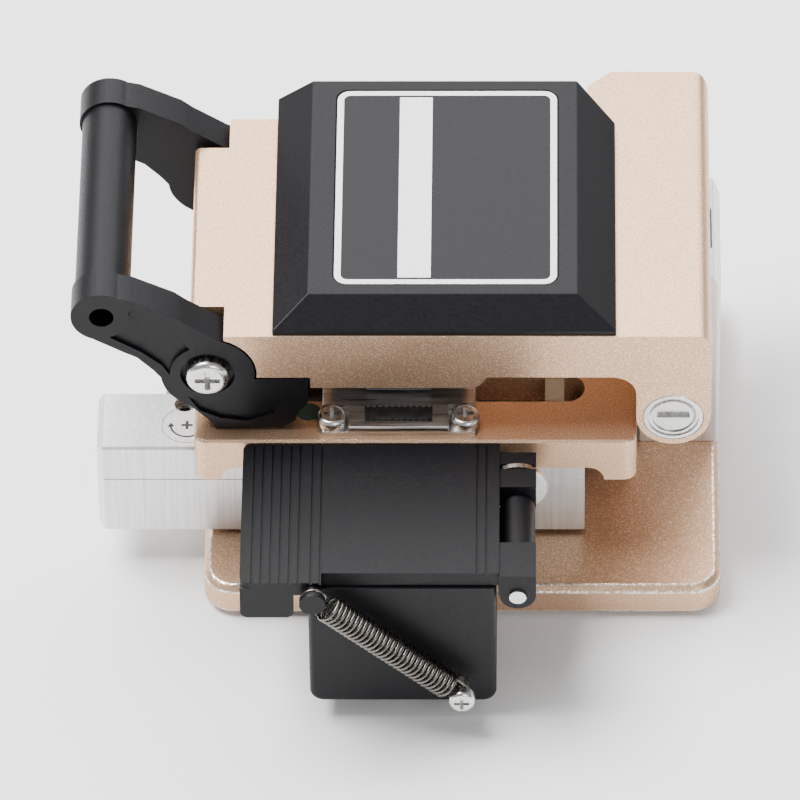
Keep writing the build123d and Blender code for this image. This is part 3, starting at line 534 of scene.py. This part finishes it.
# --- Lower clamp plates ---
# Stainless plate, linished lengthwise, with a rubber strip let into each one
# to grip the fibre on either side of the blade.
def linished_plate():
    """Stainless steel with lengthwise linishing marks."""
    material, tree, shader = finish_nodes("linished_plate")
    marks = grain(tree, 2400, 5.0, (0.04, 1.0, 1.0))
    tree.links.new(
        two_tone(tree, spread(tree, marks, 0.35, 0.65, 0, 1), (0.42, 0.40, 0.39), (0.70, 0.68, 0.66)),
        shader.inputs["Base Color"],
    )
    tree.links.new(spread(tree, marks, 0.3, 0.7, 0.24, 0.42), shader.inputs["Roughness"])
    shader.inputs["Metallic"].default_value = 1.0
    dent(tree, shader, marks, 0.00003, 0.4)
    return material


linished = linished_plate()
eased_copy("front_lower_clamp", "base", linished, 0.00012)
eased_copy("rear_lower_clamp", "base", linished, 0.00012)
eased_copy("upper_clamp_block", "upper_clamps", linished, 0.00012)


# --- Blade wheel ---
# A ground carbide disc with a polished bevel at its rim. It scores the fibre
# from below as the sliding block passes.
def ground_carbide():
    """Ground carbide: hard, grey and finely grained."""
    material, tree, shader = finish_nodes("ground_carbide")
    skin = grain(tree, 1900, 4.0)
    tree.links.new(two_tone(tree, skin, (0.30, 0.30, 0.31), (0.52, 0.52, 0.53)), shader.inputs["Base Color"])
    tree.links.new(spread(tree, skin, 0.3, 0.7, 0.14, 0.26), shader.inputs["Roughness"])
    shader.inputs["Metallic"].default_value = 1.0
    return material


dress(ground_carbide(), "blade_wheel")


# --- Blade hub ---
# Turned brass, left bare. It has dulled a little where fingers have been.
def turned_brass():
    """Bare brass with a light tarnish."""
    material, tree, shader = finish_nodes("turned_brass")
    tarnish = grain(tree, 420, 4.0)
    tree.links.new(
        two_tone(tree, tarnish, (0.42, 0.28, 0.11), (0.78, 0.58, 0.28)), shader.inputs["Base Color"]
    )
    tree.links.new(spread(tree, tarnish, 0.3, 0.7, 0.22, 0.38), shader.inputs["Roughness"])
    shader.inputs["Metallic"].default_value = 1.0
    return material


dress(turned_brass(), "blade_hub")


# --- Slot stop, breaking anvil and lever bushes ---
# Small nylon parts: a peg that ends the blade's slot, the anvil's body and the
# flanged bushes that the lever turns on.
def nylon(name, dark, light):
    """Nylon with a faint bloom in its skin."""
    material, tree, shader = finish_nodes(name)
    skin = grain(tree, 500, 3.0)
    tree.links.new(two_tone(tree, skin, dark, light), shader.inputs["Base Color"])
    tree.links.new(spread(tree, skin, 0.3, 0.7, 0.34, 0.48), shader.inputs["Roughness"])
    shader.inputs["Subsurface Weight"].default_value = 0.15
    shader.inputs["Subsurface Radius"].default_value = (0.0008, 0.0007, 0.0005)
    return material


dress(nylon("white_nylon", (0.62, 0.62, 0.59), (0.80, 0.80, 0.77)), "breaking_anvil", "lever_bushes")
dress(nylon("natural_nylon", (0.50, 0.42, 0.28), (0.68, 0.60, 0.44)), "slot_stop")


# --- Lid magnet and its keeper ---
# A nickel-plated disc magnet pressed into the deck, and the steel disc in the
# lid that it holds.
def nickel_plate():
    """Bright nickel with faint blotches."""
    material, tree, shader = finish_nodes("nickel_plate")
    blotches = grain(tree, 380, 3.0)
    colour = two_tone(tree, blotches, (0.58, 0.57, 0.55), (0.80, 0.79, 0.77))
    tree.links.new(colour, shader.inputs["Base Color"])
    tree.links.new(spread(tree, blotches, 0.3, 0.7, 0.12, 0.24), shader.inputs["Roughness"])
    shader.inputs["Metallic"].default_value = 1.0
    return material


dress(nickel_plate(), "lid_magnet", "magnet_keeper")


# --- Inspection sticker ---
# A small round film sticker, printed plain green and rolled on by hand.
def green_film():
    """Green film whose ink is a little uneven."""
    material, tree, shader = finish_nodes("green_film")
    ink = grain(tree, 900, 3.0)
    colour = two_tone(tree, ink, (0.030, 0.075, 0.048), (0.050, 0.115, 0.075))
    tree.links.new(colour, shader.inputs["Base Color"])
    tree.links.new(spread(tree, ink, 0.3, 0.7, 0.32, 0.42), shader.inputs["Roughness"])
    return material


dress(green_film(), "inspection_sticker")


# --- Small coil springs over the guide pins and the anvil's stem ---
# Compression springs wound from thin steel wire. They push the upper clamps
# and the anvil down on to the fibre.
def coil_tree():
    """A node tree that winds a wire into a coil along a line between two points."""
    tree = bpy.data.node_groups.new("wound_coil", "GeometryNodeTree")
    sockets = tree.interface
    sockets.new_socket("Start", in_out="INPUT", socket_type="NodeSocketVector")
    sockets.new_socket("Turned", in_out="INPUT", socket_type="NodeSocketVector")
    for name in ("Turns", "Start Radius", "End Radius", "Height", "Wire Radius"):
        sockets.new_socket(name, in_out="INPUT", socket_type="NodeSocketFloat")
    sockets.new_socket("Steps", in_out="INPUT", socket_type="NodeSocketInt")
    sockets.new_socket("Finish", in_out="INPUT", socket_type="NodeSocketMaterial")
    sockets.new_socket("Geometry", in_out="OUTPUT", socket_type="NodeSocketGeometry")
    add = tree.nodes.new
    given = add("NodeGroupInput")
    made = add("NodeGroupOutput")
    spiral = add("GeometryNodeCurveSpiral")
    place = add("GeometryNodeTransform")
    wire = add("GeometryNodeCurvePrimitiveCircle")
    wire.inputs["Resolution"].default_value = 12
    sweep = add("GeometryNodeCurveToMesh")
    sweep.inputs["Fill Caps"].default_value = True
    smooth = add("GeometryNodeSetShadeSmooth")
    real = add("GeometryNodeRealizeInstances")
    paint = add("GeometryNodeSetMaterial")
    link = tree.links.new
    link(given.outputs["Turns"], spiral.inputs["Rotations"])
    link(given.outputs["Start Radius"], spiral.inputs["Start Radius"])
    link(given.outputs["End Radius"], spiral.inputs["End Radius"])
    link(given.outputs["Height"], spiral.inputs["Height"])
    link(given.outputs["Steps"], spiral.inputs["Resolution"])
    link(given.outputs["Wire Radius"], wire.inputs["Radius"])
    link(spiral.outputs["Curve"], place.inputs["Geometry"])
    link(given.outputs["Start"], place.inputs["Translation"])
    link(given.outputs["Turned"], place.inputs["Rotation"])
    link(place.outputs["Geometry"], sweep.inputs["Curve"])
    link(wire.outputs["Curve"], sweep.inputs["Profile Curve"])
    link(sweep.outputs["Mesh"], smooth.inputs["Geometry"])
    link(smooth.outputs["Geometry"], real.inputs["Geometry"])
    link(real.outputs["Geometry"], paint.inputs["Geometry"])
    link(given.outputs["Finish"], paint.inputs["Material"])
    link(paint.outputs["Geometry"], made.inputs["Geometry"])
    return tree


wound_coil = coil_tree()


def spring_steel():
    """Oiled spring wire with drawing lines along it."""
    material, tree, shader = finish_nodes("spring_steel")
    skin = grain(tree, 2200, 3.0)
    colour = two_tone(tree, skin, (0.085, 0.075, 0.065), (0.20, 0.185, 0.17))
    tree.links.new(colour, shader.inputs["Base Color"])
    tree.links.new(spread(tree, skin, 0.3, 0.7, 0.20, 0.34), shader.inputs["Roughness"])
    shader.inputs["Metallic"].default_value = 1.0
    return material


spring_finish = spring_steel()


def wound_mesh(start, turned, turns, start_radius, end_radius, height, wire, per_turn=20):
    """One coil as plain mesh, wound by the node tree."""
    carrier = bpy.data.objects.new("coil_carrier", bpy.data.meshes.new("coil_carrier"))
    bpy.context.scene.collection.objects.link(carrier)
    winding = carrier.modifiers.new("winding", "NODES")
    winding.node_group = wound_coil
    sockets = {
        item.name: item.identifier for item in wound_coil.interface.items_tree if item.in_out == "INPUT"
    }
    winding[sockets["Start"]] = start
    winding[sockets["Turned"]] = turned
    winding[sockets["Turns"]] = turns
    winding[sockets["Start Radius"]] = start_radius
    winding[sockets["End Radius"]] = end_radius
    winding[sockets["Height"]] = height
    winding[sockets["Wire Radius"]] = wire
    winding[sockets["Steps"]] = per_turn
    winding[sockets["Finish"]] = spring_finish
    bpy.context.view_layer.update()
    graph = bpy.context.evaluated_depsgraph_get()
    shape = bpy.data.meshes.new_from_object(carrier.evaluated_get(graph), depsgraph=graph)
    bpy.data.objects.remove(carrier)
    return shape


def joined_springs(name, shapes, body):
    """Several coils made one piece that rides on a body."""
    mesh = bmesh.new()
    for shape in shapes:
        mesh.from_mesh(shape)
    piece = new_piece(name, mesh, spring_finish, body)
    for face in piece.data.polygons:
        face.use_smooth = True
    return piece


def split_boxes(node):
    """The boxes of a node's separate solids, found by which vertices are joined by edges."""
    mesh = bmesh.new()
    mesh.from_mesh(nodes[node].data)
    bmesh.ops.remove_doubles(mesh, verts=mesh.verts, dist=0.000002)
    left = set(mesh.verts)
    boxes = []
    while left:
        seed = left.pop()
        group = [seed]
        queue = [seed]
        while queue:
            for edge in queue.pop().link_edges:
                for vert in edge.verts:
                    if vert in left:
                        left.remove(vert)
                        group.append(vert)
                        queue.append(vert)
        low = Vector([min(v.co[i] for v in group) for i in range(3)])
        high = Vector([max(v.co[i] for v in group) for i in range(3)])
        boxes.append((low, high))
    mesh.free()
    return boxes


clamp_wire = 0.19 * MM
clamp_coil_radius = 1.28 * MM
clamp_turns = 5.0
anvil_wire = 0.14 * MM
anvil_coil_radius = 0.88 * MM
anvil_turns = 4.0
for node, name, joint, wire, coil_radius, turns in (
    (
        "upper_clamp_springs",
        "upper_clamp_coils",
        "upper_clamp_lift",
        clamp_wire,
        clamp_coil_radius,
        clamp_turns,
    ),
    ("anvil_spring", "anvil_coil", "anvil_lift", anvil_wire, anvil_coil_radius, anvil_turns),
):
    coils = []
    for low, high in split_boxes(node):
        start = ((low.x + high.x) / 2, (low.y + high.y) / 2, low.z + wire)
        height = high.z - low.z - 2 * wire
        coils.append(wound_mesh(start, (0, 0, 0), turns, coil_radius, coil_radius, height, wire))
    piece = joined_springs(name, coils, "lid")
    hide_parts(node)
    low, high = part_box(node)
    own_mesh(piece)


# --- Bin lid spring ---
# A close-wound extension spring with a hook at each end. One hook sits in the
# groove of the lid's post and the other under the head of the foot screw.
spring_low, spring_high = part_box("bin_spring")
foot_low, foot_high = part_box("bin_spring_screw")
foot = Vector(((foot_low.x + foot_high.x) / 2, 0, (foot_low.z + foot_high.z) / 2))
spring_axis_y = (spring_low.y + spring_high.y) / 2
spring_mid = Vector(((spring_low.x + spring_high.x) / 2, spring_axis_y, (spring_low.z + spring_high.z) / 2))
foot.y = spring_axis_y
post = spring_mid * 2 - foot
run = foot - post
along = run.normalized()
end_gap = 2.2 * MM
bin_wire = 0.25 * MM
coil_centre_radius = (spring_high.y - spring_low.y) / 2 - bin_wire
coil_start = post + along * (end_gap + bin_wire)
coil_height = run.length - 2 * (end_gap + bin_wire)
coil_turns = 30.0
turned = along.to_track_quat("Z", "Y").to_euler("XYZ")
coil = wound_mesh(
    tuple(coil_start),
    tuple(turned),
    coil_turns,
    coil_centre_radius,
    coil_centre_radius,
    coil_height,
    bin_wire,
    16,
)


def swept_wire(mesh, points, radius, sides=10):
    """A round wire through points, with closed ends."""
    rings = []
    forward = (points[1] - points[0]).normalized()
    across = forward.orthogonal().normalized()
    for i, point in enumerate(points):
        before = points[max(i - 1, 0)]
        after = points[min(i + 1, len(points) - 1)]
        heading = (after - before).normalized()
        across = (across - heading * across.dot(heading)).normalized()
        other = heading.cross(across)
        rings.append(
            [
                mesh.verts.new(
                    point
                    + across * radius * math.cos(2 * math.pi * k / sides)
                    + other * radius * math.sin(2 * math.pi * k / sides)
                )
                for k in range(sides)
            ]
        )
    for near, far in zip(rings, rings[1:]):
        for k in range(sides):
            j = (k + 1) % sides
            mesh.faces.new((near[k], near[j], far[j], far[k]))
    mesh.faces.new(list(reversed(rings[0])))
    mesh.faces.new(rings[-1])


def hook_points(post_centre, inward, post_radius, hook_radius):
    """The path of an end hook, from the coil's last turn round the far side of its post."""
    side = Vector((0, 1, 0)).cross(inward).normalized()
    centre = post_centre + inward * (hook_radius - bin_wire - post_radius)
    begin = post_centre + inward * (end_gap + bin_wire) + side * coil_centre_radius
    path = [begin]
    first = centre + side * hook_radius
    for i in range(1, 5):
        path.append(begin.lerp(first, i / 5))
    for i in range(26):
        angle = math.radians(90 + 320 * i / 25)
        path.append(centre + (inward * math.cos(angle) + side * math.sin(angle)) * hook_radius)
    return path


spring_mesh = bmesh.new()
spring_mesh.from_mesh(coil)
swept_wire(spring_mesh, hook_points(post, along, 1.1 * MM, 1.55 * MM), bin_wire)
swept_wire(spring_mesh, hook_points(foot, -along, 0.9 * MM, 1.35 * MM), bin_wire)
bmesh.ops.recalc_face_normals(spring_mesh, faces=spring_mesh.faces)
spring_shape = bpy.data.meshes.new("bin_lid_coil")
spring_mesh.to_mesh(spring_shape)
spring_mesh.free()
for face in spring_shape.polygons:
    face.use_smooth = True
spring_shape.materials.clear()
spring_shape.materials.append(spring_finish)
bin_coil = bpy.data.objects.new("bin_lid_coil", spring_shape)
bpy.context.scene.collection.objects.link(bin_coil)
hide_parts("bin_spring")
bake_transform(bin_coil)


# --- Mark beside the blade height screw ---
# Black ink printed on the sliding block in front of the screw: a hairline
# circle, a curved arrow and a plus sign that show which way raises the blade.
def black_ink():
    """Black pad-printing ink."""
    material, tree, shader = finish_nodes("black_ink")
    ink = grain(tree, 2600, 2.0)
    colour = two_tone(tree, ink, (0.018, 0.018, 0.02), (0.04, 0.04, 0.042))
    tree.links.new(colour, shader.inputs["Base Color"])
    shader.inputs["Roughness"].default_value = 0.5
    return material


def printed_ring(mesh, centre, inner, outer, start, stop, z0, z1, steps=48):
    """A printed line along an arc, whole or part of a circle."""
    whole = stop - start >= 360
    count = steps if whole else steps + 1
    rows = []
    for i in range(count):
        angle = math.radians(start + (stop - start) * i / steps)
        rows.append(
            [
                mesh.verts.new((centre[0] + r * math.cos(angle), centre[1] + r * math.sin(angle), z))
                for r, z in ((inner, z0), (outer, z0), (outer, z1), (inner, z1))
            ]
        )
    for i in range(steps):
        here, there = rows[i], rows[(i + 1) % count]
        for k in range(4):
            j = (k + 1) % 4
            mesh.faces.new((here[k], there[k], there[j], here[j]))
    if not whole:
        mesh.faces.new(rows[0])
        mesh.faces.new(list(reversed(rows[-1])))


slider_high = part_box("slider_block")[1]
screw_low, screw_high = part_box("height_screw")
mark_x = (screw_low.x + screw_high.x) / 2 + 0.4 * MM
mark_y = (screw_low.y + screw_high.y) / 2 - 3.9 * MM
mark_low = slider_high.z - 0.01 * MM
mark_high = slider_high.z + 0.02 * MM
mark_mesh = bmesh.new()
printed_ring(mark_mesh, (mark_x, mark_y), 3.25 * MM, 3.32 * MM, 0, 360, mark_low, mark_high)
arrow_radius = 2.15 * MM
stroke = 0.13 * MM
arrow_start = 172
printed_ring(
    mark_mesh,
    (mark_x, mark_y),
    arrow_radius - stroke,
    arrow_radius + stroke,
    arrow_start + 14,
    340,
    mark_low,
    mark_high,
)
head = []
arrow_barb_inner = 1.65 * MM
arrow_barb_outer = 2.65 * MM
arrow_tip = (
    (arrow_radius, arrow_start - 4),
    (arrow_barb_inner, arrow_start + 16),
    (arrow_barb_outer, arrow_start + 16),
)
for radius, degrees in arrow_tip:
    angle = math.radians(degrees)
    head.append((mark_x + radius * math.cos(angle), mark_y + radius * math.sin(angle)))
raised_patch(mark_mesh, head, mark_low, mark_high)
plus_reach = 0.75 * MM
plus_stroke = 0.19 * MM
plus = []
for sx, sy in ((1, 1), (-1, 1), (-1, -1), (1, -1)):
    near, far = plus_stroke, plus_reach
    corner = [(sx * near, sy * far), (sx * near, sy * near), (sx * far, sy * near)]
    if sx * sy > 0:
        corner.reverse()
    plus += [(mark_x + x, mark_y + y) for x, y in corner]
raised_patch(mark_mesh, plus, mark_low, mark_high)
new_piece("height_mark", mark_mesh, black_ink(), "blade_slide")


# --- Studio ---
# The tool stands on a pale sweep with no edge in sight, lit by soft boxes.
# Nothing here is part of the object.
def studio_surface(name, colour, roughness):
    """A plain matt surface for the sweep."""
    material = bpy.data.materials.new(name)
    material.use_nodes = True
    shader = material.node_tree.nodes["Principled BSDF"]
    shader.inputs["Base Color"].default_value = (*colour, 1)
    shader.inputs["Roughness"].default_value = roughness
    return material


floor_mesh = bpy.data.meshes.new("studio_floor")
reach = 4.0
floor_mesh.from_pydata(
    [(-reach, -reach, 0), (reach, -reach, 0), (reach, reach, 0), (-reach, reach, 0)], [], [(0, 1, 2, 3)]
)
floor = bpy.data.objects.new("studio_floor", floor_mesh)
bpy.context.scene.collection.objects.link(floor)
floor_mesh.materials.append(studio_surface("pale_paper", (0.97, 0.97, 0.97), 0.95))

world = bpy.data.worlds.new("studio_air")
world.use_nodes = True
world.node_tree.nodes["Background"].inputs["Color"].default_value = (1.0, 1.0, 1.0, 1)
world.node_tree.nodes["Background"].inputs["Strength"].default_value = 0.42
bpy.context.scene.world = world


def soft_box(name, place, aim, size, power):
    """A square area light that faces a point on the tool."""
    light = bpy.data.lights.new(name, "AREA")
    light.shape = "SQUARE"
    light.size = size
    light.energy = power
    lamp = bpy.data.objects.new(name, light)
    direction = Vector(aim) - Vector(place)
    lamp.matrix_world = Matrix.Translation(place) @ direction.to_track_quat("-Z", "Y").to_matrix().to_4x4()
    bpy.context.scene.collection.objects.link(lamp)


soft_box("key_box", (-0.45, 0.12, 0.95), (0, 0, 0.02), 0.6, 27.0)
soft_box("back_box", (0.10, 1.05, 0.95), (0, 0, 0.02), 1.5, 30.0)
soft_box("front_box", (0.45, -0.95, 0.60), (0, 0, 0.02), 0.5, 4.0)


# --- Camera ---
# A long lens from the front and above, a little to the right of the tool's
# centre line, rolled so that the blade slide lies level in the picture.
elevation = math.radians(44.5)
sideways = math.radians(1.2)
roll = math.radians(-0.84)
distance = 1.36
base_low, base_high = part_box("base_plate")
target = Vector(((base_low.x + base_high.x) / 2 - 8.2 * MM, base_low.y + 19.6 * MM, base_low.z + 20.0 * MM))
away = Vector(
    (
        math.sin(sideways) * math.cos(elevation),
        -math.cos(sideways) * math.cos(elevation),
        math.sin(elevation),
    )
)
camera_data = bpy.data.cameras.new("camera")
camera_data.sensor_width = 36
camera_data.lens = 465
camera_data.clip_end = 20
camera = bpy.data.objects.new("camera", camera_data)
aim = (-away).to_track_quat("-Z", "Y").to_matrix().to_4x4()
camera.matrix_world = Matrix.Translation(target + away * distance) @ aim @ Matrix.Rotation(roll, 4, "Z")
bpy.context.scene.collection.objects.link(camera)
bpy.context.scene.camera = camera
